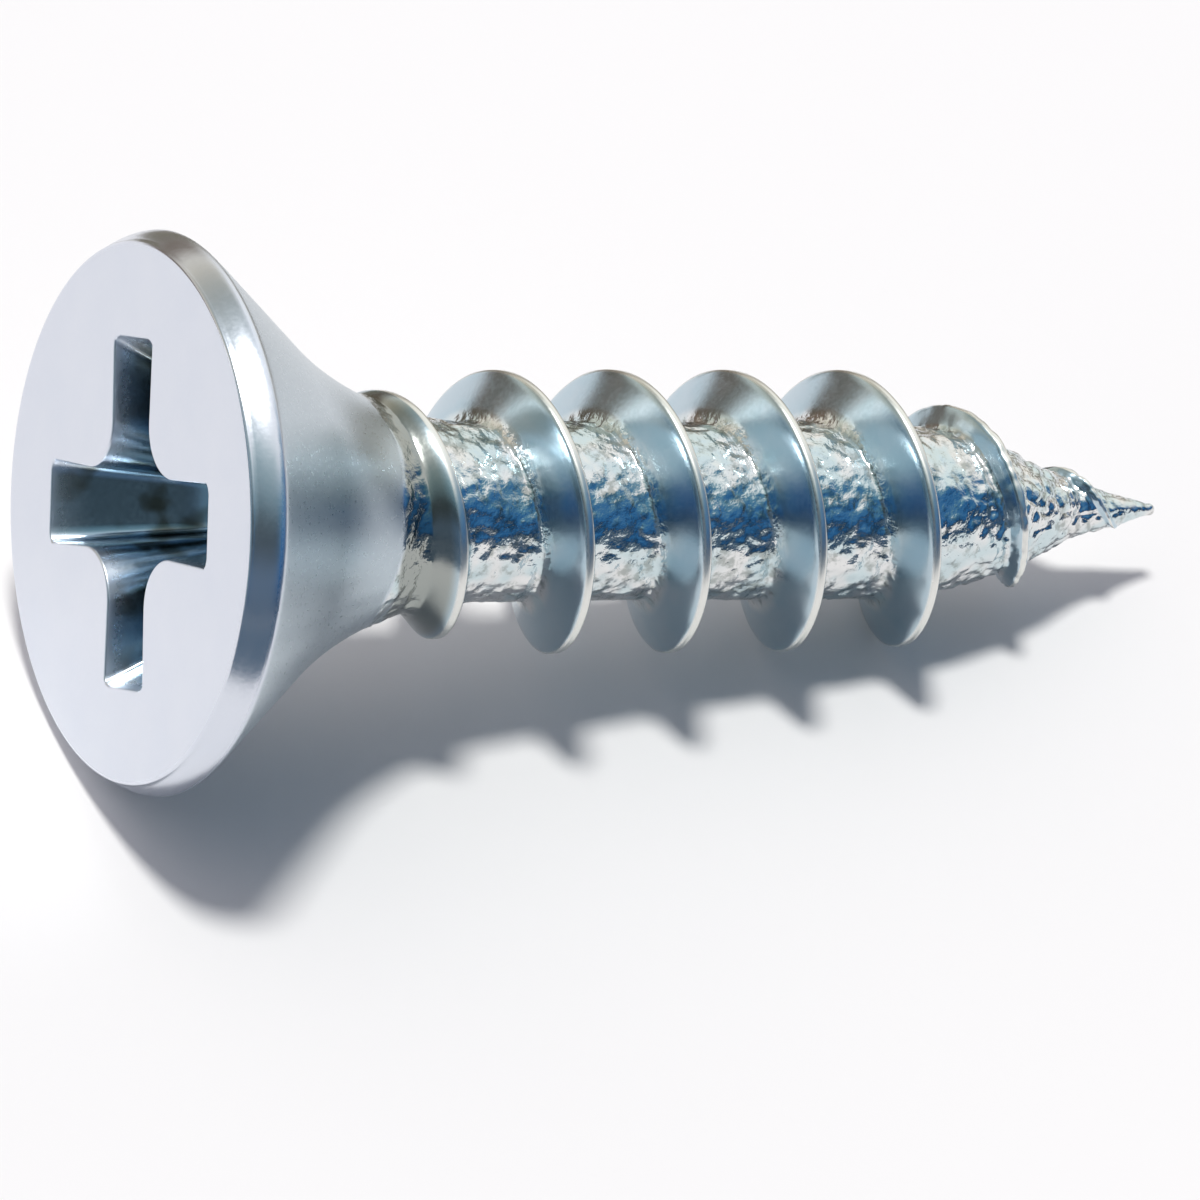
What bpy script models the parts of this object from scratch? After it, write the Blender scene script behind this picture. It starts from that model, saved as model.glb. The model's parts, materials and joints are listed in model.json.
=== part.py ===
"""A cross-recess countersunk wood screw, fully threaded to a gimlet point, lying at rest.

The screw is one piece of steel. It is modelled upright about its local Z axis, with the face of the
head at z = 0 and the point below it. A parent empty lays it down the way it comes to rest: on the
rear edge of the head's rim and on the last large crest of the thread. World +X runs from the head to
the point, z = 0 is the surface that it lies on, and the origin is the middle of its footprint.
"""

import math

import bmesh
import bpy
from mathutils import Vector

# Driving dimensions, in metres. Distances along the screw are measured from the face of the head.
LENGTH = 0.016
THREAD_RADIUS = 0.00195
CORE_RADIUS = 0.00122
PITCH = 0.0018
FACE_RADIUS = 0.00362
RIM_RADIUS = 0.0038
RIM_REAR = 0.00044
CONE_HALF_ANGLE = math.radians(41.0)
RECESS_DEPTH = 0.0024

# The head: the rim's broken edge, and the point where the cone turns into the fillet.
RIM_EDGE_BREAK = 0.00004
CONE_END_RADIUS = 0.00246

# The point: an arc runs in from the core, then two straight tapers reach the blunt tip.
ARC_START = 0.0113
ARC_END = 0.0146
ARC_RADIUS = 0.00656
NEEDLE_START = 0.0150
NEEDLE_RADIUS = 0.00030
TIP_RADIUS = 0.00007

# The thread's crest, as stations (distance, radius). It grows out of the fillet under the head,
# keeps its full height along the shank, and closes in faster than the core towards the tip.
CREST_STATIONS = (
    (0.00310, 0.00156),
    (0.00377, 0.00166),
    (0.00467, 0.00172),
    (0.00557, THREAD_RADIUS),
    (0.01140, THREAD_RADIUS),
    (0.01187, 0.00188),
    (0.01212, 0.00179),
    (0.01277, 0.00142),
    (0.01457, 0.00053),
    (0.01540, 0.00012),
)
FLANK_ANGLE = math.radians(30.0)
CREST_HALF_WIDTH = 0.00004
RIDGE_ROOT_SHARE = 0.7

# Turn of the thread and of the recess about the screw's axis, from the side that faces up at rest.
# One crest passes the thread's turn at the phase distance, so it meets the surface half way round.
THREAD_TURN = math.radians(41.4)
CREST_PHASE_DISTANCE = 0.005568
RECESS_TURN = math.radians(36.7)
REST_CREST = 0.012075

# The recess, as levels of (depth share, wing tip radius, wing end width, wing root width, fillet).
RECESS_CLEARANCE = 0.0002
RECESS_LEVELS = (
    (0.00, 0.00235, 0.00112, 0.00106, 0.00070),
    (0.42, 0.00185, 0.00092, 0.00088, 0.00050),
    (0.80, 0.00138, 0.00074, 0.00070, 0.00034),
    (1.00, 0.00062, 0.00040, 0.00038, 0.00014),
)

# Fineness of the faceted surfaces.
TURNED_STEPS = 60
RIDGE_STEPS_PER_TURN = 36
FILLET_STEPS = 7
ARC_STEPS = 6
RECESS_FILLET_STEPS = 6
MERGE_DISTANCE = 1e-7


def clear_scene():
    """Remove every object of the open file."""
    for item in list(bpy.data.objects):
        bpy.data.objects.remove(item, do_unlink=True)


def new_collection(name):
    """Return a new collection of the scene."""
    collection = bpy.data.collections.new(name)
    bpy.context.scene.collection.children.link(collection)
    return collection


def zinc_plate():
    """Return the material of bright zinc plate on steel."""
    material = bpy.data.materials.new("zinc_plated_steel")
    material.use_nodes = True
    shader = material.node_tree.nodes["Principled BSDF"]
    shader.inputs["Base Color"].default_value = (0.66, 0.69, 0.74, 1.0)
    shader.inputs["Metallic"].default_value = 1.0
    shader.inputs["Roughness"].default_value = 0.32
    return material


def cone_end_distance():
    """Return the distance at which the cone under the head turns into the fillet."""
    return RIM_REAR + (RIM_RADIUS - CONE_END_RADIUS) / math.tan(CONE_HALF_ANGLE)


def fillet_radius():
    """Return the radius of the arc that is tangent to the cone and to the core."""
    return (CONE_END_RADIUS - CORE_RADIUS) / (1.0 - math.cos(CONE_HALF_ANGLE))


def core_radius(distance):
    """Return the radius of the plain body under the thread at a distance from the face."""
    fillet_end = cone_end_distance() + fillet_radius() * math.sin(CONE_HALF_ANGLE)
    if distance < fillet_end:
        run = fillet_end - distance
        rise = fillet_radius() - math.sqrt(fillet_radius() ** 2 - run ** 2)
        return CORE_RADIUS + rise
    if distance <= ARC_START:
        return CORE_RADIUS
    if distance <= ARC_END:
        return CORE_RADIUS - (distance - ARC_START) ** 2 / (2.0 * ARC_RADIUS)
    if distance <= NEEDLE_START:
        share = (distance - ARC_END) / (NEEDLE_START - ARC_END)
        return core_radius(ARC_END) * (1.0 - share) + NEEDLE_RADIUS * share
    share = (distance - NEEDLE_START) / (LENGTH - NEEDLE_START)
    return NEEDLE_RADIUS * (1.0 - share) + TIP_RADIUS * share


def crest_radius(distance):
    """Return the radius of the thread's crest at a distance from the face."""
    for (low, low_radius), (high, high_radius) in zip(CREST_STATIONS, CREST_STATIONS[1:]):
        if distance <= high:
            share = (distance - low) / (high - low)
            return low_radius * (1.0 - share) + high_radius * share
    return CREST_STATIONS[-1][1]


def body_profile():
    """Return the turned outline as (radius, distance) pairs, from the face's middle to the tip."""
    outline = [
        (0.0, 0.0),
        (FACE_RADIUS, 0.0),
        (FACE_RADIUS + RIM_EDGE_BREAK, RIM_EDGE_BREAK),
        (RIM_RADIUS, RIM_REAR - RIM_EDGE_BREAK),
        (RIM_RADIUS - RIM_EDGE_BREAK, RIM_REAR + RIM_EDGE_BREAK),
    ]
    start = cone_end_distance()
    run = fillet_radius() * math.sin(CONE_HALF_ANGLE)
    for step in range(FILLET_STEPS + 1):
        distance = start + run * step / FILLET_STEPS
        outline.append((core_radius(distance), distance))
    for step in range(ARC_STEPS + 1):
        distance = ARC_START + (ARC_END - ARC_START) * step / ARC_STEPS
        outline.append((core_radius(distance), distance))
    outline.append((NEEDLE_RADIUS, NEEDLE_START))
    outline.append((TIP_RADIUS, LENGTH))
    outline.append((0.0, LENGTH))
    return outline


def make_body(collection, material):
    """Turn the outline into the plain body of the screw, point down."""
    mesh = bpy.data.meshes.new("wood_screw")
    points = [(radius, 0.0, -distance) for radius, distance in body_profile()]
    edges = [(index, index + 1) for index in range(len(points) - 1)]
    mesh.from_pydata(points, edges, [])
    body = bpy.data.objects.new("wood_screw", mesh)
    body.data.materials.append(material)
    collection.objects.link(body)
    turn = body.modifiers.new("turn", "SCREW")
    turn.axis = "Z"
    turn.steps = TURNED_STEPS
    turn.render_steps = TURNED_STEPS
    turn.use_merge_vertices = True
    turn.merge_threshold = MERGE_DISTANCE
    turn.use_smooth_shade = True
    return body


def loft(name, rings, collection):
    """Skin a row of rings that have the same number of points, and cap both ends."""
    mesh = bpy.data.meshes.new(name)
    bm = bmesh.new()
    rows = [[bm.verts.new(point) for point in ring] for ring in rings]
    count = len(rings[0])
    for low, high in zip(rows, rows[1:]):
        for index in range(count):
            after = (index + 1) % count
            bm.faces.new((low[index], low[after], high[after], high[index]))
    bm.faces.new(rows[0])
    bm.faces.new(rows[-1])
    bmesh.ops.recalc_face_normals(bm, faces=bm.faces)
    bm.to_mesh(mesh)
    bm.free()
    shape = bpy.data.objects.new(name, mesh)
    shape.hide_render = True
    shape.display_type = "WIRE"
    collection.objects.link(shape)
    return shape


def make_thread(collection):
    """Sweep the ridge of the right-hand thread, whose height changes along its helix."""
    start, end = CREST_STATIONS[0][0], CREST_STATIONS[-1][0]
    steps = round((end - start) / PITCH * RIDGE_STEPS_PER_TURN)
    rings = []
    for step in range(steps + 1):
        distance = start + (end - start) * step / steps
        turns = (CREST_PHASE_DISTANCE - distance) / PITCH
        angle = THREAD_TURN + 2.0 * math.pi * turns
        crest = crest_radius(distance)
        root = core_radius(distance) * RIDGE_ROOT_SHARE
        half_width = CREST_HALF_WIDTH + max(crest - root, 0.0) * math.tan(FLANK_ANGLE)
        section = (
            (root, -half_width),
            (crest, -CREST_HALF_WIDTH),
            (crest, CREST_HALF_WIDTH),
            (root, half_width),
        )
        ring = []
        for radius, offset in section:
            ring.append((radius * math.cos(angle), radius * math.sin(angle), offset - distance))
        rings.append(ring)
    return loft("thread_ridge", rings, collection)


def recess_ring(depth, tip, end_width, root_width, fillet):
    """Return one level of the cross: four flared wings joined by concave fillets."""
    ring = []
    centre = root_width / 2.0 + fillet
    for quarter in range(4):
        turn = RECESS_TURN + quarter * math.pi / 2.0
        corners = [(tip, -end_width / 2.0), (tip, end_width / 2.0)]
        for step in range(RECESS_FILLET_STEPS + 1):
            swing = -math.pi / 2.0 * (1.0 + step / RECESS_FILLET_STEPS)
            corners.append((centre + fillet * math.cos(swing), centre + fillet * math.sin(swing)))
        for across, along in corners:
            x = across * math.cos(turn) - along * math.sin(turn)
            y = across * math.sin(turn) + along * math.cos(turn)
            ring.append((x, y, -depth))
    return ring


def make_recess(collection):
    """Make the tapered cross that the driver enters, rising clear of the face."""
    rings = [recess_ring(-RECESS_CLEARANCE, *RECESS_LEVELS[0][1:])]
    for share, tip, end_width, root_width, fillet in RECESS_LEVELS:
        rings.append(recess_ring(RECESS_DEPTH * share, tip, end_width, root_width, fillet))
    return loft("recess_cross", rings, collection)


def boolean(body, shape, operation):
    """Join a shape to the body, or cut it out, with the exact solver."""
    step = body.modifiers.new(shape.name, "BOOLEAN")
    step.operation = operation
    step.solver = "EXACT"
    step.object = shape


def lay_down(body, shapes, collection):
    """Parent everything to an empty that rests the rim and the last large crest on z = 0."""
    reach = REST_CREST - RIM_REAR
    tilt = math.atan2(RIM_RADIUS - crest_radius(REST_CREST), reach)
    rest = bpy.data.objects.new("rest_pose", None)
    collection.objects.link(rest)
    rest.rotation_euler = (0.0, tilt - math.pi / 2.0, 0.0)
    for item in (body, *shapes):
        item.parent = rest
    bpy.context.view_layer.update()
    solid = body.evaluated_get(bpy.context.evaluated_depsgraph_get())
    corners = [solid.matrix_world @ vertex.co for vertex in solid.data.vertices]
    low = Vector([min(corner[axis] for corner in corners) for axis in range(3)])
    high = Vector([max(corner[axis] for corner in corners) for axis in range(3)])
    rest.location = (-(low.x + high.x) / 2.0, -(low.y + high.y) / 2.0, -low.z)
    bpy.context.view_layer.update()


def main():
    """Build the screw."""
    clear_scene()
    parts = new_collection("wood_screw")
    cutters = new_collection("cutters")
    body = make_body(parts, zinc_plate())
    thread = make_thread(cutters)
    recess = make_recess(cutters)
    boolean(body, thread, "UNION")
    boolean(body, recess, "DIFFERENCE")
    lay_down(body, (thread, recess), parts)


main()
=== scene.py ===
"""Visual model of a bright zinc-plated countersunk wood screw with a cross recess.

The whole screw is one mesh of quads: a helical grid follows the thread from the rim to the tip, and
rings make the rim, the flat face and the recess. Lengths of the screw are in millimetres along its
own axis: s runs from the face to the tip, and angles turn about the axis from the side that faces
up at rest. The frame gives its place and its tilt.
"""

import json
import math

import bmesh
import bpy
import numpy as np
from mathutils import Matrix, Vector, noise


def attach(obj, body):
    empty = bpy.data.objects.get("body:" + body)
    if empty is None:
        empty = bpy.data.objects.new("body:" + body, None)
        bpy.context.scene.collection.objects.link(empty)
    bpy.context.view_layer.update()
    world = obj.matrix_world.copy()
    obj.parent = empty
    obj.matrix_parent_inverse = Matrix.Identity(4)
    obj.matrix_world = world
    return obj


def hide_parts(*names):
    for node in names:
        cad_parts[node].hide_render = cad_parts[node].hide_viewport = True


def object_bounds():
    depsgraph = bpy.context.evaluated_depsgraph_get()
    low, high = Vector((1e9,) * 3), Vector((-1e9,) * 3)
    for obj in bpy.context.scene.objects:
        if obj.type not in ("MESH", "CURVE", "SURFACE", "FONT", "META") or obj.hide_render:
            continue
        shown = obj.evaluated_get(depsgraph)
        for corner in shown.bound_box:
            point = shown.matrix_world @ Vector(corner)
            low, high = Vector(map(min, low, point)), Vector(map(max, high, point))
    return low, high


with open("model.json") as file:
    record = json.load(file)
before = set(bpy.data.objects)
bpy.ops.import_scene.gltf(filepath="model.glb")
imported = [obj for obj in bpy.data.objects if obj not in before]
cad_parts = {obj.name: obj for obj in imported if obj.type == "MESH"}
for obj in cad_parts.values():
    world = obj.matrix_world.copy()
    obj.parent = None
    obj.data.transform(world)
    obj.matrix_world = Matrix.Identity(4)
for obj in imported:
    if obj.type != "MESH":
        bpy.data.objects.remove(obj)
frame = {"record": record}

CAD_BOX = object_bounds()
MM = 0.001

# The screw's sizes in millimetres: those of the CAD model, or a hair inside it.
LENGTH = 16.0
CORE = 1.22
PITCH = 1.8
FACE_RADIUS = 3.62
RIM_RADIUS = 3.795
RIM_REAR = 0.42
REAR_ROUNDING = 0.035
RIM_TAPER = 0.15
EDGE_ROUNDING = 0.06
CONE_ANGLE = math.radians(41.0)
CONE_END_RADIUS = 2.46
ARC_START = 11.3
ARC_END = 14.6
ARC_RADIUS = 6.56
NEEDLE = ((15.0, 0.31), (15.5, 0.18), (15.9, 0.085))
TIP_ROUNDING = 0.07

# The thread. Its tables give a value at each distance of the crest from the face: the crest's radius,
# half its width, and how steeply the side that faces the head falls. One crest passes the thread's
# turn at the phase distance.
THREAD_TURN = math.radians(41.4)
PHASE_DISTANCE = 5.51
CREST = (
    (2.00, 0.80), (2.70, 1.35), (3.25, 1.58), (3.70, 1.66), (4.67, 1.72), (5.10, 1.84), (5.50, 1.94),
    (11.50, 1.94), (11.90, 1.875), (12.77, 1.42), (13.67, 1.03), (14.57, 0.57), (15.10, 0.37),
    (15.50, 0.18), (16.0, 0.02),
)
CREST_WIDTH = ((3.0, 0.03), (5.2, 0.035), (12.0, 0.035), (14.0, 0.03), (16.0, 0.01))
HEAD_SIDE_SLOPE = ((3.0, 0.60), (4.6, 0.70), (5.2, 2.3), (16.0, 2.3))
TIP_SIDE_SLOPE = 2.6
CREST_ROUNDING = 0.045
FOOT_FILLET = 0.10
FIRST_TURN_END = 4.75
FIRST_TURN_BLEND = 0.5
STATION_SMOOTHING = 0.35
SMOOTHING_SAMPLES = 9

# The rolled surface: where it starts, with a wavy edge, and where the point starts. Dents are pairs
# of height and size.
ROLLED_START = 3.35
ROLLED_BLEND = 0.10
ROLLED_EDGE_WAVE = 0.16
ROLLED_EDGE_WAVE_SIZE = 0.9
POINT_START = 12.6
POINT_BLEND = 0.8
DENTS = ((0.019, 0.34), (0.011, 0.13))
FOLD_HEIGHT = 0.020
FOLD_SIZE = 0.30
FOLD_SPREAD = 0.35
FLANK_WAVE = 0.004
FLANK_WAVE_SIZE = 0.8
FLANK_CLIMB = 0.14
FLANK_CLIMB_BLEND = 0.20
FULL_RELIEF_RADIUS = 0.5

# The recess. Each level is a share of the depth, then the wings' reach, their width at the end and at
# the root, and the radius between two wings. The levels past 0 and 1 only steer the smoothing.
RECESS_TURN = math.radians(36.7)
RECESS_DEPTH = 2.35
RECESS = (
    (-0.42, 2.85, 1.32, 1.24, 0.90),
    (0.00, 2.35, 1.12, 1.06, 0.70),
    (0.42, 1.85, 0.92, 0.88, 0.50),
    (0.80, 1.38, 0.74, 0.70, 0.34),
    (1.00, 0.62, 0.40, 0.38, 0.14),
    (1.20, 0.20, 0.20, 0.18, 0.05),
)
RECESS_EDGE = 0.035
RECESS_SMOOTHING = 0.30
RECESS_CORNER = 0.07
RECESS_BOTTOM = ((0.66, 0.07), (0.33, 0.11), (0.0, 0.12))
RECESS_SHADE_START = 0.15
RECESS_SHADE_DEPTH = 0.6

# Fineness of the mesh. Rows lie closest together on the crest, then on the flanks, then in the root.
COLUMNS = 180
CREST_EDGE = 0.045
FLANK_EDGE = 0.42
CREST_ROWS = 4
FLANK_ROWS = 12
ROOT_ROWS = 11
RIM_ROWS = 8
CORNER_ROWS = 6
RECESS_EDGE_ROWS = 5
RECESS_ROWS = 30
FACE_ROWS = 22
WING_END_POINTS = 13
WING_SIDE_POINTS = 8
FILLET_POINTS = 20
MERGE_DISTANCE = 2e-8
SLIVER_DISTANCE = 1e-8

# Colours of the plate's zones, and painted light on the plate: painted shade, a painted reflection
# and a painted highlight, each named where it stands. Pairs are the two ends of a noise. Sizes and
# depths of its grain are in millimetres.
SATIN = ((0.68, 0.72, 0.80, 1.0), (0.74, 0.77, 0.83, 1.0))
BRIGHT = ((0.61, 0.71, 0.73, 1.0), (0.79, 0.79, 0.78, 1.0))
# Painted shade in the recess: a blue shade with darker patches by noise.
RECESS_PAINTED_SHADE = ((0.42, 0.55, 0.66, 1.0), (0.17, 0.19, 0.17, 1.0))
# Painted shade in the thread roots, in mottled patches.
ROOT_PAINTED_SHADE = (0.26, 0.29, 0.27, 1.0)
# Darker, bluer tint on the flanks: a painted reflection of the shaded floor.
FLANK_PAINTED_REFLECTION = (0.45, 0.58, 0.66, 1.0)
# Painted shade on the head side of the first turn.
FIRST_TURN_PAINTED_SHADE = (0.36, 0.38, 0.36, 1.0)
# Lighter crest: wear on the edge, and a painted highlight line.
CREST_WEAR_AND_HIGHLIGHT = (0.80, 0.80, 0.76, 1.0)
# Darker cone under the head: painted shade.
CONE_PAINTED_SHADE = (0.54, 0.61, 0.66, 1.0)
BLOTCH_SIZE = 0.9
PATCH_SIZE = 0.5
# Size of the dark patches in the recess's painted shade.
RECESS_SHADE_PATCH_SIZE = 0.7
# Size of the mottled patches of painted shade in the roots, and how strong that shade is.
ROOT_SHADE_PATCH_SIZE = 0.22
ROOT_SHADE_STRENGTH = 0.65
# How strongly the flanks take their painted reflection and their roughness change.
FLANK_STRENGTH = 0.8
FINE_SIZE = 0.06
FINE_DEPTH = 0.0007
CRINKLE_SIZE = 0.11
CRINKLE_DEPTH = 0.018

# Roughness of the satin face, how much the fine grain adds, and what each zone changes.
SATIN_ROUGHNESS = 0.28
FINE_ROUGHNESS = 0.12
ROUGHNESS_CHANGES = {
    "rolled": -0.24, "recess": -0.16, "rim": -0.12, "cone": -0.05, "flank": 0.13, "crest": 0.10,
}

# The floor, and cards on it that only the metal mirrors: edges in x and in y, in metres, and colour.
FLOOR_SIZE = 4.0
PAPER = ((0.89, 0.89, 0.895, 1.0), (0.91, 0.91, 0.91, 1.0))
PAPER_TONE_SIZE = 20.0
CARD_HEIGHT = 0.00002
SLATE = (0.10, 0.15, 0.21, 1.0)
TAN = (0.21, 0.19, 0.145, 1.0)
BROWN = (0.165, 0.12, 0.09, 1.0)
CARDS = {
    "front_card": ((-0.30, 0.30), (-0.412, -0.012), SLATE),
    "back_card": ((-0.003, 0.30), (0.018, 0.618), TAN),
    "far_card": ((-1.00, -0.003), (0.10, 1.50), BROWN),
}

# Colours of the mirrored room by the height of a direction, from 0 at the horizon to 1 overhead.
BACK_ROOM = (
    (0.00, (0.165, 0.12, 0.09)), (0.18, (0.18, 0.14, 0.11)), (0.33, (0.90, 0.86, 0.77)),
    (0.45, (0.66, 0.61, 0.50)), (0.70, (0.36, 0.39, 0.36)), (0.88, (0.50, 0.56, 0.57)),
    (1.00, (0.90, 0.95, 1.00)),
)
BACK_WINDOW = (
    (0.00, (0.27, 0.24, 0.18)), (0.06, (0.30, 0.27, 0.21)), (0.17, (1.00, 0.98, 0.92)),
    (0.60, (1.05, 1.06, 1.04)), (1.00, (0.95, 1.00, 1.05)),
)
FRONT_ROOM = (
    (0.00, (0.03, 0.05, 0.09)), (0.10, (0.02, 0.06, 0.13)), (0.30, (0.03, 0.14, 0.34)),
    (0.52, (0.06, 0.18, 0.35)), (0.72, (0.14, 0.30, 0.40)), (0.88, (1.0, 1.0, 1.0)),
)
CAMERA_SIDE_ROOM = (
    (0.00, (0.08, 0.12, 0.17)), (0.30, (0.13, 0.19, 0.27)), (0.46, (0.06, 0.08, 0.09)),
    (0.60, (0.06, 0.08, 0.09)), (0.70, (0.16, 0.25, 0.29)), (0.88, (0.36, 0.48, 0.50)),
    (0.97, (1.0, 1.0, 1.0)),
)
HEAD_END_ROOM = (
    (0.00, (0.16, 0.24, 0.27)), (0.15, (0.20, 0.31, 0.36)), (0.38, (0.15, 0.23, 0.29)),
    (0.60, (0.60, 0.70, 0.75)), (1.00, (1.0, 1.0, 1.0)),
)
WINDOW = (1.80, 1.80, 1.75, 1.0)

# Where one side of the room turns into the next, in the direction's x or y.
BACK_WINDOW_STEP = (0.16, 0.40)
CAMERA_SIDE_STEP = (0.25, -0.12)
FRONT_TO_BACK_STEP = (-0.30, 0.22)
HEAD_END_WINDOW_STEP = (0.36, 0.52)
HEAD_END_STEP = (-0.74, -0.86)

# The dim fill that the floor gets instead of the room, the camera's backdrop, and the key light.
FRONT_FILL = (0.06, 0.10, 0.15, 1.0)
BACK_FILL = (0.69, 0.64, 0.66, 1.0)
BACKDROP = (0.985, 0.985, 0.99, 1.0)
FILL_STEP = (-0.35, 0.35)
FILL_SLANT = 0.6
SUN_FROM = Vector((-0.097, 0.104, 1.0))
SUN_ANGLE = math.radians(10.5)
SUN_STRENGTH = 2.27
SUN_COLOUR = (1.0, 0.985, 0.95)

# The camera: a long lens at the head's side. Distances are in metres, lens and sensor in millimetres.
CAMERA_AZIMUTH = math.radians(-29.60)
CAMERA_ELEVATION = math.radians(40.96)
CAMERA_ROLL = math.radians(12.15)
CAMERA_DISTANCE = 0.164
CAMERA_AIM = Vector((-0.00057, -0.00063, 0.00155))
CAMERA_LENS = 360.0
SENSOR_WIDTH = 36.0


# ---------------------------------------------------------------- the frame

def head_mount():
    """Return the screw's axis, from head to tip, and a point on its face, as the mount gives them."""
    mount = next(m for m in frame["record"]["mounts"] if m["name"] == "head_face")
    return -Vector(mount["axis"]).normalized(), Vector(mount["pos_m"])


def screw_frame():
    """Return the middle of the face, the axis, and the two directions across it."""
    axis, on_face = head_mount()
    side = Vector((0.0, 1.0, 0.0))
    rise = side.cross(-axis).normalized()
    if rise.z < 0.0:
        rise = -rise
    # The lower edge of the face is the end of the CAD model's box.
    x = CAD_BOX[0][0] + FACE_RADIUS * MM * rise.x
    z = on_face.z + (on_face.x - x) * axis.x / axis.z
    return Vector((x, 0.0, z)), axis, rise, side


ORIGIN, AXIS, RISE, SIDE = screw_frame()


def to_world(s, x, y):
    """Turn the screw's own coordinates, in millimetres, into world points in metres."""
    own = np.stack([s, x, y], axis=-1) * MM
    basis = np.array([AXIS, RISE, SIDE])
    return own @ basis + np.array(ORIGIN)


# ---------------------------------------------------------------- outlines

def smooth_stations(stations, s, width=STATION_SMOOTHING):
    """Read a row of stations at s, with their corners rounded over a width."""
    distances, values = np.array(stations).T
    total = np.zeros_like(s)
    offsets = np.linspace(-0.5, 0.5, SMOOTHING_SAMPLES) * width
    for offset in offsets:
        total += np.interp(s + offset, distances, values)
    return total / len(offsets)


def soft_max(a, b, width):
    """Return the larger of two heights, with a fillet where they cross."""
    overlap = np.clip(width - np.abs(a - b), 0.0, None) / width
    return np.maximum(a, b) + overlap ** 2 * width / 4.0


def core_radius(s):
    """Return the radius under the thread: cone, fillet, core, arc and needle."""
    back = np.sqrt((s - RIM_REAR) ** 2 + REAR_ROUNDING ** 2) - REAR_ROUNDING
    cone = RIM_RADIUS - back * math.tan(CONE_ANGLE)
    cone_length = (RIM_RADIUS - CONE_END_RADIUS) / math.tan(CONE_ANGLE)
    fillet_start = RIM_REAR + REAR_ROUNDING + cone_length
    fillet = (CONE_END_RADIUS - CORE) / (1.0 - math.cos(CONE_ANGLE))
    fillet_end = fillet_start + fillet * math.sin(CONE_ANGLE)
    run = np.clip(fillet_end - s, 0.0, fillet_end - fillet_start)
    rounded = CORE + fillet - np.sqrt(fillet ** 2 - run ** 2)
    arc = CORE - np.clip(s - ARC_START, 0.0, ARC_END - ARC_START) ** 2 / (2.0 * ARC_RADIUS)
    arc_foot = CORE - (ARC_END - ARC_START) ** 2 / (2.0 * ARC_RADIUS)
    stations = ((ARC_END, arc_foot), *NEEDLE, (LENGTH, NEEDLE[-1][1]))
    needle = np.interp(s, *np.array(stations).T)
    radius = np.where(s < fillet_start, cone, rounded)
    radius = np.where(s > ARC_START, arc, radius)
    radius = np.where(s > ARC_END, needle, radius)
    return radius


def grain(points, size, octaves, seed):
    """Return smooth noise between about -1 and 1 at points in millimetres."""
    shift = Vector((seed, 2.7 * seed, 5.1 * seed))
    values = [noise.fractal(Vector(point) / size + shift, 1.0, 2.0, octaves) for point in points]
    return np.array(values)


def cells(points, size, seed):
    """Return the distance to the nearest cell edge, large in the middle of a cell."""
    shift = Vector((seed, 3.1 * seed, 1.9 * seed))
    distances = []
    for point in points:
        nearest, second = noise.voronoi(Vector(point) / size + shift)[0][:2]
        distances.append(second - nearest)
    return np.array(distances)


# ---------------------------------------------------------------- the thread and the cone

def row_offsets():
    """Return where the rows of one pitch lie, from 0 to 1, with the crest in the middle."""
    crest = np.linspace(-CREST_EDGE, CREST_EDGE, CREST_ROWS)
    flank = np.linspace(CREST_EDGE, FLANK_EDGE, FLANK_ROWS)[1:]
    root = np.linspace(FLANK_EDGE, PITCH / 2.0, ROOT_ROWS)[1:]
    right = np.concatenate([flank, root])
    rows = np.concatenate([-right[::-1][1:], crest, right])
    return rows / PITCH + 0.5


def helical_grid():
    """Return the grid that follows the thread.

    That is the distance, the angle and the distance to the nearest crest of every vertex, and the
    count of rows in a pitch.
    """
    offsets = row_offsets()
    count = len(offsets)
    base = PHASE_DISTANCE - PITCH / 2.0
    first = math.floor((RIM_REAR - base) / PITCH)
    last = math.ceil((LENGTH - base) / PITCH) + 1
    turns = np.arange(first, last)
    rows = (turns[:, None] + offsets[None, :]).ravel()
    angles = np.linspace(0.0, 2.0 * math.pi, COLUMNS, endpoint=False)
    s = base + PITCH * (rows[:, None] - angles[None, :] / (2.0 * math.pi))
    angle = THREAD_TURN + np.broadcast_to(angles[None, :], s.shape)
    phase = (np.broadcast_to(rows[:, None], s.shape) % 1.0 - 0.5) * PITCH
    return s, angle, phase, count


def thread_radius(s, phase):
    """Return the radius of the ridge over the core, and how far up the ridge a point lies."""
    crest_place = s - phase
    crest = smooth_stations(CREST, crest_place)
    half = smooth_stations(CREST_WIDTH, crest_place)
    slope = np.where(phase < 0.0, smooth_stations(HEAD_SIDE_SLOPE, crest_place), TIP_SIDE_SLOPE)
    away = np.clip(np.abs(phase) - half, 0.0, None)
    drop = np.sqrt(away ** 2 + CREST_ROUNDING ** 2) - CREST_ROUNDING
    core = core_radius(s)
    height = np.clip(crest - core, 0.01, None)
    fillet = np.minimum(FOOT_FILLET, height * 0.6)
    radius = soft_max(crest - drop * slope, core, fillet)
    climb = np.clip((radius - core) / height, 0.0, 1.0)
    return radius, climb


def zone(s, start, width):
    """Return a smooth step from 0 to 1 round a distance."""
    t = np.clip((s - start) / width + 0.5, 0.0, 1.0)
    return t * t * (3.0 - 2.0 * t)


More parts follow.
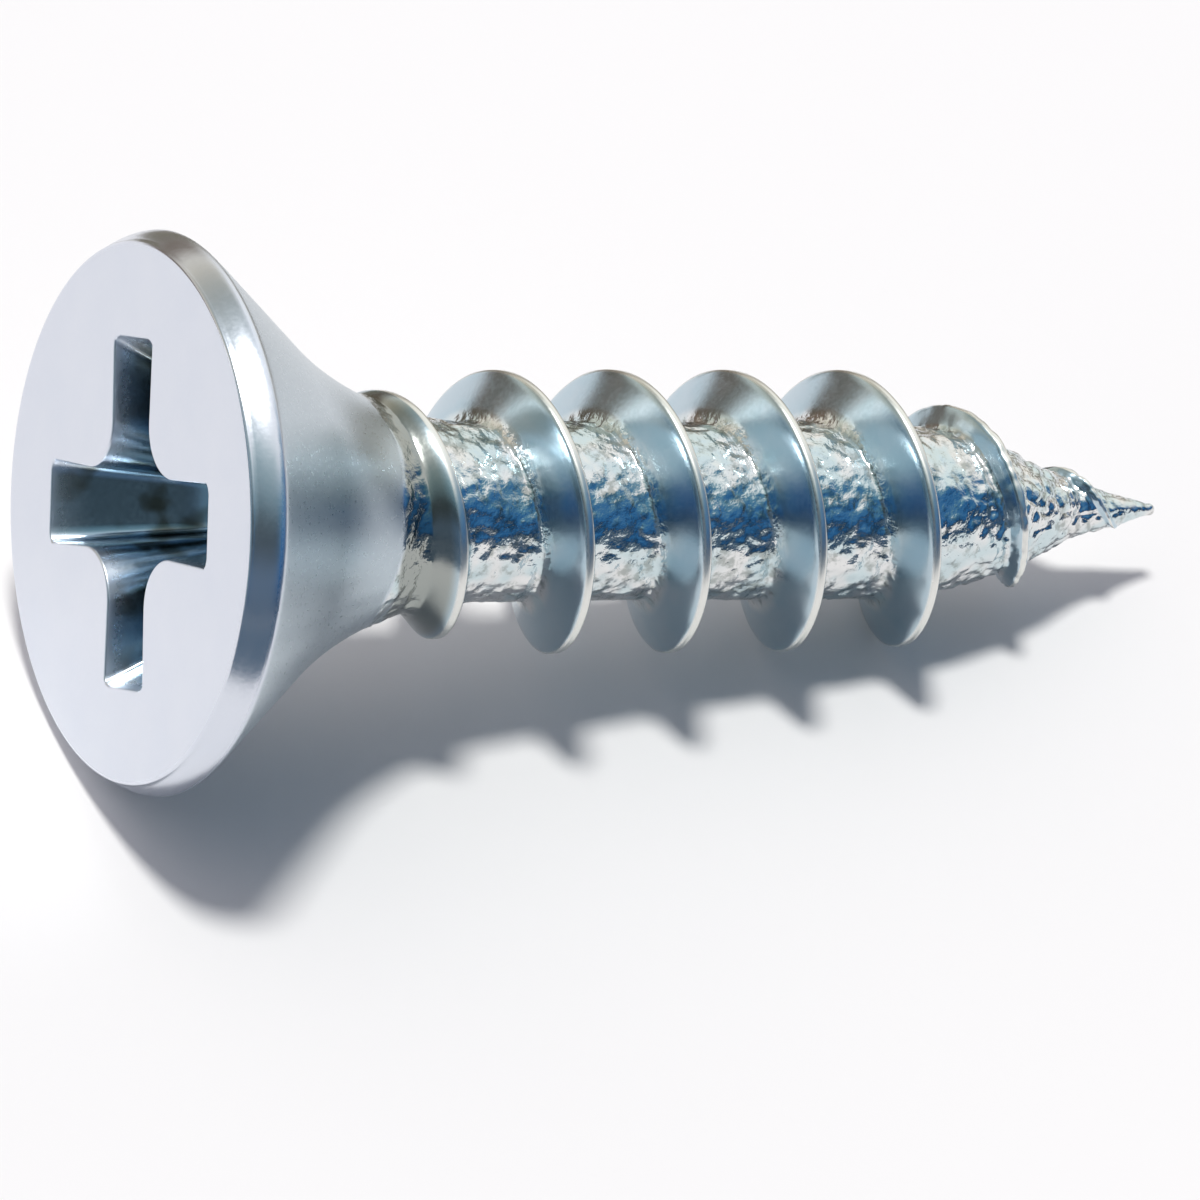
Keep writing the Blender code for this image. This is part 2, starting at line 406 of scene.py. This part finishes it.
def relief(flat, shape, along, radius, rolled, climb):
    """Return how far the rolled surface lies above or below its smooth form.

    The roots are wrinkled and the flanks only wavy. The point is wrinkled more, up to its flanks, and
    less as it gets thin.
    """
    point = zone(along, POINT_START, POINT_BLEND)
    bare = zone(climb, FLANK_CLIMB, FLANK_CLIMB_BLEND) * (1.0 - 0.6 * point)
    rough = rolled * (1.0 - bare)
    strength = np.clip(radius / FULL_RELIEF_RADIUS, 0.15, 1.0) * (1.0 + 0.7 * point)
    dents = sum(height * grain(flat, size, 2, seed) for seed, (height, size) in enumerate(DENTS, 1))
    edges = np.clip(cells(flat, FOLD_SIZE, 3.0), 0.0, FOLD_SPREAD) / FOLD_SPREAD
    folds = FOLD_HEIGHT * (edges - 0.6)
    wrinkles = rough * strength * (dents + folds).reshape(shape)
    wave = FLANK_WAVE * grain(flat, FLANK_WAVE_SIZE, 2, 6.0).reshape(shape)
    return wrinkles + rolled * (1.0 - rough) * wave


def helical_faces(rows, per_pitch):
    """Return the grid's quads. The seam joins the last column to the first, one pitch further on."""
    index = np.arange(rows * COLUMNS).reshape(rows, COLUMNS)
    low, high = index[:-1], index[1:]
    right_low, right_high = np.roll(low, -1, 1), np.roll(high, -1, 1)
    inner = np.stack([low, high, right_high, right_low], -1)[:, :-1]
    seam_rows = np.arange(per_pitch, rows - 1)
    last = COLUMNS - 1
    seam = np.stack([
        index[seam_rows, last], index[seam_rows + 1, last],
        index[seam_rows + 1 - per_pitch, 0], index[seam_rows - per_pitch, 0],
    ], -1)
    return np.concatenate([inner.reshape(-1, 4), seam])


def screw_body():
    """Return world points, faces and zone masks of the grid from the rim's rear to the tip.

    The masks are the rolled surface, the climb up the ridge, the cone under the head, and the ramp
    on the head side of the first turn. The cone and the ramp masks carry painted shade.
    """
    s, angle, phase, per_pitch = helical_grid()
    stop = LENGTH - TIP_ROUNDING
    clamped = np.clip(s, RIM_REAR, None)
    held = np.minimum(clamped, stop)
    radius, climb = thread_radius(held, phase)
    past = np.clip(clamped - stop, 0.0, TIP_ROUNDING) / TIP_ROUNDING
    radius = radius * np.sqrt(np.clip(1.0 - past ** 2, 0.0, None))
    along = held + past * TIP_ROUNDING
    flat = np.stack([along, radius * np.cos(angle), radius * np.sin(angle)], -1).reshape(-1, 3)
    edge_wave = ROLLED_EDGE_WAVE * grain(flat, ROLLED_EDGE_WAVE_SIZE, 1, 4.0).reshape(s.shape)
    rolled = zone(s + edge_wave, ROLLED_START, ROLLED_BLEND)
    lift = relief(flat, s.shape, along, radius, rolled, climb)
    radius = np.where(radius > 0.0, radius + lift, 0.0)
    radius = np.where(clamped > RIM_REAR, np.minimum(radius, RIM_RADIUS), radius)
    world = to_world(along, radius * np.cos(angle), radius * np.sin(angle))
    cone = (1.0 - rolled) * zone(along, RIM_REAR + 0.05, 0.10)
    first_turn = 1.0 - zone(along - phase, FIRST_TURN_END, FIRST_TURN_BLEND)
    ramp = rolled * first_turn * zone(-phase, 0.12, 0.16)
    masks = {
        "rolled": rolled.ravel(), "climb": (climb * rolled).ravel(),
        "cone": cone.ravel(), "ramp": ramp.ravel(),
    }
    return world.reshape(-1, 3), helical_faces(s.shape[0], per_pitch), masks


# ---------------------------------------------------------------- rim, face and recess

def rim_profile():
    """Return the rim's outline from its rear edge to the face, as rows of (distance, radius)."""
    rows = []
    width = RIM_REAR - EDGE_ROUNDING
    for step in range(1, RIM_ROWS + 1):
        share = step / RIM_ROWS
        rows.append((RIM_REAR - width * share, RIM_RADIUS - RIM_TAPER * share ** 1.5))
    corner = RIM_RADIUS - RIM_TAPER - EDGE_ROUNDING
    for step in range(1, CORNER_ROWS + 1):
        turn = math.radians(90.0 * step / CORNER_ROWS)
        distance = EDGE_ROUNDING * (1.0 - math.sin(turn))
        rows.append((distance, corner + EDGE_ROUNDING * math.cos(turn)))
    return rows


def recess_outline(tip, end_width, root_width, fillet):
    """Return the cross in the face's plane, with the same count of points at every level."""
    centre = root_width / 2.0 + fillet
    sides = []
    for share in np.linspace(0.0, 1.0, WING_SIDE_POINTS)[1:-1]:
        half = (end_width + (root_width - end_width) * share) / 2.0
        sides.append((tip + (centre - tip) * share, half))
    part = []
    for across in np.linspace(-1.0, 1.0, WING_END_POINTS):
        reach = math.copysign(1.0 - (1.0 - abs(across)) ** 1.3, across)
        rounding = RECESS_CORNER * max(0.0, (abs(reach) - 0.75) / 0.25) ** 2
        part.append((tip - rounding, reach * end_width / 2.0))
    part += sides
    for swing in np.linspace(-0.5 * math.pi, -math.pi, FILLET_POINTS):
        part.append((centre + fillet * math.cos(swing), centre + fillet * math.sin(swing)))
    part += [(half, out) for out, half in sides[::-1]]
    points = []
    for quarter in range(4):
        turn = RECESS_TURN + quarter * math.pi / 2.0
        for x, y in part:
            points.append((
                x * math.cos(turn) - y * math.sin(turn),
                x * math.sin(turn) + y * math.cos(turn),
            ))
    return np.array(points)


def recess_level(share):
    """Return the cross at a share of the recess's depth."""
    table = np.array(RECESS)
    sizes = [
        smooth_stations(table[:, (0, column)], np.array(share), RECESS_SMOOTHING)
        for column in range(1, 5)
    ]
    return recess_outline(*sizes)


def outward(outline):
    """Return unit vectors across an outline, pointing away from the recess."""
    along = np.roll(outline, -1, 0) - np.roll(outline, 1, 0)
    across = np.stack([along[:, 1], -along[:, 0]], -1)
    return across / np.linalg.norm(across, axis=1, keepdims=True)


def head_rings():
    """Return rings from the rim's rear to the bottom of the recess.

    Each ring is its distance from the face, its points across the axis, and how deep in the recess's
    shade it lies, from 0 to 1.
    """
    angles = THREAD_TURN + np.linspace(0.0, 2.0 * math.pi, COLUMNS, endpoint=False)
    circle = np.stack([np.cos(angles), np.sin(angles)], -1)
    rings = [(RIM_REAR, circle * RIM_RADIUS, 0.0)]
    for distance, radius in rim_profile():
        rings.append((distance, circle * radius, 0.0))
    face_edge = rings[-1][1]
    mouth = recess_level(0.0)
    shift = int(np.argmin(np.linalg.norm(face_edge - mouth[0], axis=1)))
    mouth = np.roll(mouth, shift, 0)
    away = outward(mouth)
    lip = mouth + away * RECESS_EDGE
    for row in range(1, FACE_ROWS):
        share = row / FACE_ROWS
        rings.append((0.0, face_edge * (1.0 - share) + lip * share, 0.0))
    for step in range(RECESS_EDGE_ROWS + 1):
        turn = math.radians(90.0 * step / RECESS_EDGE_ROWS)
        offset = RECESS_EDGE * (1.0 - math.sin(turn))
        depth = RECESS_EDGE * (1.0 - math.cos(turn))
        rings.append((depth, mouth + away * offset, RECESS_SHADE_START * step / RECESS_EDGE_ROWS))
    for row in range(1, RECESS_ROWS + 1):
        share = row / RECESS_ROWS
        level = np.roll(recess_level(share), shift, 0)
        depth = RECESS_EDGE + (RECESS_DEPTH - RECESS_EDGE) * share
        rings.append((depth, level, min(1.0, RECESS_SHADE_START + depth / RECESS_SHADE_DEPTH)))
    bottom = rings[-1][1]
    for shrink, sink in RECESS_BOTTOM:
        rings.append((RECESS_DEPTH + sink, bottom * shrink, 1.0))
    return rings


def head_body():
    """Return world points, faces and masks of the rim, the face and the recess."""
    points, shades, rims = [], [], []
    for distance, flat, shade in head_rings():
        s = np.full(COLUMNS, distance)
        points.append(to_world(s, flat[:, 0], flat[:, 1]))
        shades.append(np.full(COLUMNS, shade))
        rims.append(np.full(COLUMNS, 1.0 if 0.0 < distance and shade == 0.0 else 0.0))
    rows = len(points)
    index = np.arange(rows * COLUMNS).reshape(rows, COLUMNS)
    low, high = index[:-1], index[1:]
    faces = np.stack([low, np.roll(low, -1, 1), np.roll(high, -1, 1), high], -1).reshape(-1, 4)
    masks = {"recess": np.concatenate(shades), "rim": np.concatenate(rims)}
    return np.concatenate(points), faces, masks


# ---------------------------------------------------------------- materials

def add(nodes, kind, **values):
    """Add a shader node and set its properties."""
    node = nodes.new(kind)
    for name, value in values.items():
        setattr(node, name, value)
    return node


def feed(tree, socket, value):
    """Link another node's socket to an input, or set the input to a number or a colour."""
    if hasattr(value, "default_value"):
        tree.links.new(value, socket)
    else:
        socket.default_value = value


def math_node(tree, operation, first, second):
    """Add a Math node whose two inputs are sockets or numbers."""
    node = add(tree.nodes, "ShaderNodeMath", operation=operation)
    feed(tree, node.inputs[0], first)
    feed(tree, node.inputs[1], second)
    return node.outputs[0]


def mix_colour(tree, factor, first, second):
    """Add a Mix node for colours, whose inputs are sockets or colours."""
    node = add(tree.nodes, "ShaderNodeMix", data_type="RGBA")
    feed(tree, node.inputs[0], factor)
    feed(tree, node.inputs[6], first)
    feed(tree, node.inputs[7], second)
    return node.outputs[2]


def step_node(tree, value, low, high):
    """Add a smooth step from 0 to 1 between two values."""
    node = add(tree.nodes, "ShaderNodeMapRange", interpolation_type="SMOOTHSTEP")
    tree.links.new(value, node.inputs["Value"])
    node.inputs["From Min"].default_value = low
    node.inputs["From Max"].default_value = high
    return node.outputs["Result"]


def colour_ramp(tree, value, stops):
    """Add a colour ramp with the given (position, colour) stops."""
    node = add(tree.nodes, "ShaderNodeValToRGB")
    tree.links.new(value, node.inputs[0])
    elements = node.color_ramp.elements
    while len(elements) < len(stops):
        elements.new(0.5)
    for element, (position, colour) in zip(elements, stops):
        element.position = position
        element.color = (*colour, 1.0)
    return node.outputs["Color"]


def noise_texture(tree, place, feature, detail=2.0, roughness=0.5):
    """Add a noise texture whose features have a size in millimetres."""
    node = add(tree.nodes, "ShaderNodeTexNoise")
    tree.links.new(place, node.inputs["Vector"])
    node.inputs["Scale"].default_value = 1.0 / (feature * MM)
    node.inputs["Detail"].default_value = detail
    node.inputs["Roughness"].default_value = roughness
    return node.outputs["Fac"]


def attribute(tree, name):
    """Add an Attribute node and return its value."""
    node = add(tree.nodes, "ShaderNodeAttribute", attribute_name=name)
    return node.outputs["Fac"]


def bump(tree, height, distance, normal=None):
    """Add a Bump node with a depth in millimetres."""
    node = add(tree.nodes, "ShaderNodeBump")
    node.inputs["Strength"].default_value = 1.0
    node.inputs["Distance"].default_value = distance * MM
    tree.links.new(height, node.inputs["Height"])
    if normal is not None:
        tree.links.new(normal, node.inputs["Normal"])
    return node.outputs["Normal"]


def zone_masks(tree):
    """Return the masks stored on the mesh, and those that follow from the climb up the ridge."""
    stored = ("rolled", "climb", "recess", "rim", "cone", "ramp")
    masks = {name: attribute(tree, name) for name in stored}
    climb = masks["climb"]
    masks["root"] = math_node(tree, "MULTIPLY", masks["rolled"], step_node(tree, climb, 0.28, 0.06))
    masks["flank"] = math_node(tree, "MULTIPLY", step_node(tree, climb, 0.10, 0.35), FLANK_STRENGTH)
    masks["crest"] = step_node(tree, climb, 0.945, 0.995)
    return masks


def zinc_colour(tree, place, masks):
    """Return the plate's colour, from zone to zone of the screw, with painted shade in the roots, on
    the first turn's ramp, on the cone and in the recess, a painted reflection on the flanks and a
    painted highlight on the crests.
    """
    blotch = noise_texture(tree, place, BLOTCH_SIZE, 3.0)
    patch = step_node(tree, noise_texture(tree, place, PATCH_SIZE, 2.0), 0.38, 0.62)
    # Dark patches in the recess's painted shade.
    recess_shade_patches = step_node(tree, noise_texture(tree, place, RECESS_SHADE_PATCH_SIZE, 2.0), 0.50, 0.64)
    # Mottled painted shade in the thread roots.
    root_shade_patches = step_node(tree, noise_texture(tree, place, ROOT_SHADE_PATCH_SIZE, 4.0, 0.65), 0.50, 0.66)
    root_shade_reach = math_node(tree, "MULTIPLY", masks["root"], ROOT_SHADE_STRENGTH)
    root_shade_patches = math_node(tree, "MULTIPLY", root_shade_patches, root_shade_reach)
    satin = mix_colour(tree, blotch, *SATIN)
    bright = mix_colour(tree, patch, *BRIGHT)
    deep = mix_colour(tree, recess_shade_patches, *RECESS_PAINTED_SHADE)
    colour = mix_colour(tree, masks["rolled"], satin, bright)
    colour = mix_colour(tree, root_shade_patches, colour, ROOT_PAINTED_SHADE)
    # Painted reflection of the shaded floor on the flanks.
    colour = mix_colour(tree, masks["flank"], colour, FLANK_PAINTED_REFLECTION)
    # Painted shade on the first turn's ramp.
    colour = mix_colour(tree, masks["ramp"], colour, FIRST_TURN_PAINTED_SHADE)
    # Lighter crests: wear on the edge and a painted highlight.
    colour = mix_colour(tree, masks["crest"], colour, CREST_WEAR_AND_HIGHLIGHT)
    # Painted shade on the cone under the head.
    colour = mix_colour(tree, masks["cone"], colour, CONE_PAINTED_SHADE)
    # Painted shade in the recess, deeper with depth.
    return mix_colour(tree, masks["recess"], colour, deep)


def zinc_roughness(tree, fine, masks):
    """Return the plate's roughness, from zone to zone of the screw."""
    grained = math_node(tree, "MULTIPLY", fine, FINE_ROUGHNESS)
    roughness = math_node(tree, "ADD", grained, SATIN_ROUGHNESS)
    for name, change in ROUGHNESS_CHANGES.items():
        part = math_node(tree, "MULTIPLY", masks[name], change)
        roughness = math_node(tree, "ADD", roughness, part)
    return roughness


def zinc():
    """Make the bright zinc plate: satin on the head, mirror-bright on the rolled thread."""
    material = bpy.data.materials.new("zinc_plate")
    material.use_nodes = True
    tree = material.node_tree
    shader = tree.nodes["Principled BSDF"]
    place = add(tree.nodes, "ShaderNodeTexCoord").outputs["Object"]
    masks = zone_masks(tree)
    fine = noise_texture(tree, place, FINE_SIZE, 3.0)
    crinkle = noise_texture(tree, place, CRINKLE_SIZE, 3.0)
    satin_skin = bump(tree, fine, FINE_DEPTH)
    skin = bump(tree, math_node(tree, "MULTIPLY", crinkle, masks["root"]), CRINKLE_DEPTH, satin_skin)
    shader.inputs["Metallic"].default_value = 1.0
    tree.links.new(zinc_colour(tree, place, masks), shader.inputs["Base Color"])
    tree.links.new(zinc_roughness(tree, fine, masks), shader.inputs["Roughness"])
    tree.links.new(skin, shader.inputs["Normal"])
    return material


def paper():
    """Make the pale matt surface that the screw lies on."""
    material = bpy.data.materials.new("pale_floor")
    material.use_nodes = True
    tree = material.node_tree
    shader = tree.nodes["Principled BSDF"]
    place = add(tree.nodes, "ShaderNodeTexCoord").outputs["Object"]
    tone = noise_texture(tree, place, PAPER_TONE_SIZE)
    colour = mix_colour(tree, tone, *PAPER)
    tree.links.new(colour, shader.inputs["Base Color"])
    shader.inputs["Roughness"].default_value = 0.8
    shader.inputs["Specular IOR Level"].default_value = 0.0
    return material


# ---------------------------------------------------------------- the screw

def make_screw():
    """Join the two grids into one closed mesh and give it its material."""
    body, body_faces, body_masks = screw_body()
    head, head_faces, head_masks = head_body()
    points = np.concatenate([body, head])
    faces = np.concatenate([body_faces, head_faces + len(body)])
    blank_body, blank_head = np.zeros(len(body)), np.zeros(len(head))
    values = {name: np.concatenate([mask, blank_head]) for name, mask in body_masks.items()}
    for name, mask in head_masks.items():
        values[name] = np.concatenate([blank_body, mask])
    mesh = bpy.data.meshes.new("screw_metal")
    mesh.from_pydata(points.tolist(), [], faces.tolist())
    for name, numbers in values.items():
        layer = mesh.attributes.new(name, "FLOAT", "POINT")
        layer.data.foreach_set("value", numbers.astype(np.float32))
    weld(mesh)
    mesh.shade_smooth()
    screw = bpy.data.objects.new("screw_metal", mesh)
    bpy.context.scene.collection.objects.link(screw)
    mesh.materials.append(zinc())
    return screw


def weld(mesh):
    """Merge the vertices that the clamped rows share, and turn the faces outward."""
    bm = bmesh.new()
    bm.from_mesh(mesh)
    bmesh.ops.remove_doubles(bm, verts=bm.verts, dist=MERGE_DISTANCE)
    bmesh.ops.dissolve_degenerate(bm, edges=bm.edges, dist=SLIVER_DISTANCE)
    bmesh.ops.recalc_face_normals(bm, faces=bm.faces)
    bm.to_mesh(mesh)
    bm.free()


# ---------------------------------------------------------------- the stage

def make_floor():
    """Lay a wide pale sheet under the screw."""
    bpy.ops.mesh.primitive_plane_add(size=FLOOR_SIZE, location=(0.0, 0.0, 0.0))
    floor = bpy.context.active_object
    floor.name = "floor"
    floor.data.materials.append(paper())


def make_card(name, x_edges, y_edges, colour):
    """Lay a coloured card on the floor between four edges, which only the metal mirrors."""
    middle = (sum(x_edges) / 2.0, sum(y_edges) / 2.0, CARD_HEIGHT)
    bpy.ops.mesh.primitive_plane_add(size=1.0, location=middle)
    card = bpy.context.active_object
    card.name = name
    card.scale = (x_edges[1] - x_edges[0], y_edges[1] - y_edges[0], 1.0)
    material = bpy.data.materials.new(name)
    material.use_nodes = True
    tree = material.node_tree
    tree.nodes.remove(tree.nodes["Principled BSDF"])
    glow = add(tree.nodes, "ShaderNodeEmission")
    glow.inputs["Color"].default_value = colour
    tree.links.new(glow.outputs[0], tree.nodes["Material Output"].inputs["Surface"])
    card.data.materials.append(material)
    card.visible_camera = False
    card.visible_diffuse = False
    card.visible_shadow = False
    card.visible_transmission = False


def make_world():
    """Surround the screw with a room: warm and white behind, blue in front, teal past its head.

    Only the metal mirrors that room. The floor gets a dim fill, bluish from the front, and the camera
    sees a plain pale backdrop.
    """
    world = bpy.data.worlds.new("room")
    bpy.context.scene.world = world
    world.use_nodes = True
    tree = world.node_tree
    direction = add(tree.nodes, "ShaderNodeTexCoord").outputs["Generated"]
    split = add(tree.nodes, "ShaderNodeSeparateXYZ")
    tree.links.new(direction, split.inputs[0])
    x, y, z = split.outputs
    back, window = colour_ramp(tree, z, BACK_ROOM), colour_ramp(tree, z, BACK_WINDOW)
    front, near_camera = colour_ramp(tree, z, FRONT_ROOM), colour_ramp(tree, z, CAMERA_SIDE_ROOM)
    head_end = colour_ramp(tree, z, HEAD_END_ROOM)
    back = mix_colour(tree, step_node(tree, x, *BACK_WINDOW_STEP), back, window)
    front = mix_colour(tree, step_node(tree, x, *CAMERA_SIDE_STEP), front, near_camera)
    room = mix_colour(tree, step_node(tree, y, *FRONT_TO_BACK_STEP), front, back)
    head_end = mix_colour(tree, step_node(tree, y, *HEAD_END_WINDOW_STEP), head_end, WINDOW)
    room = mix_colour(tree, step_node(tree, x, *HEAD_END_STEP), room, head_end)
    open_side = math_node(tree, "SUBTRACT", y, math_node(tree, "MULTIPLY", x, FILL_SLANT))
    fill = mix_colour(tree, step_node(tree, open_side, *FILL_STEP), FRONT_FILL, BACK_FILL)
    path = add(tree.nodes, "ShaderNodeLightPath")
    seen = mix_colour(tree, path.outputs["Is Glossy Ray"], fill, room)
    seen = mix_colour(tree, path.outputs["Is Camera Ray"], seen, BACKDROP)
    tree.links.new(seen, tree.nodes["Background"].inputs["Color"])


def make_key_light():
    """Add the soft key light, almost overhead, a little behind the screw and towards its head."""
    lamp = bpy.data.lights.new("key", "SUN")
    lamp.energy = SUN_STRENGTH
    lamp.angle = SUN_ANGLE
    lamp.color = SUN_COLOUR
    key = bpy.data.objects.new("key", lamp)
    key.rotation_mode = "QUATERNION"
    key.rotation_quaternion = SUN_FROM.to_track_quat("Z", "Y")
    bpy.context.scene.collection.objects.link(key)


def make_camera():
    """Aim a long lens down at the screw, rolled until the screw lies level in the frame."""
    camera = bpy.data.cameras.new("camera")
    camera.lens = CAMERA_LENS
    camera.sensor_width = SENSOR_WIDTH
    camera.clip_start = 0.01
    camera.clip_end = 10.0
    eye = bpy.data.objects.new("camera", camera)
    bpy.context.scene.collection.objects.link(eye)
    level = math.cos(CAMERA_ELEVATION)
    back = Vector((
        math.sin(CAMERA_AZIMUTH) * level,
        -math.cos(CAMERA_AZIMUTH) * level,
        math.sin(CAMERA_ELEVATION),
    ))
    flat_right = Vector((math.cos(CAMERA_AZIMUTH), math.sin(CAMERA_AZIMUTH), 0.0))
    flat_up = back.cross(flat_right)
    right = flat_right * math.cos(CAMERA_ROLL) + flat_up * math.sin(CAMERA_ROLL)
    up = back.cross(right)
    turn = Matrix((right, up, back)).transposed()
    eye.matrix_world = Matrix.Translation(CAMERA_AIM + back * CAMERA_DISTANCE) @ turn.to_4x4()
    bpy.context.scene.camera = eye


make_camera()
SCREW = make_screw()
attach(SCREW, "root")
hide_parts("wood_screw")
make_floor()
for card_name, card in CARDS.items():
    make_card(card_name, *card)
make_world()
make_key_light()
bpy.context.scene.view_settings.view_transform = "Standard"
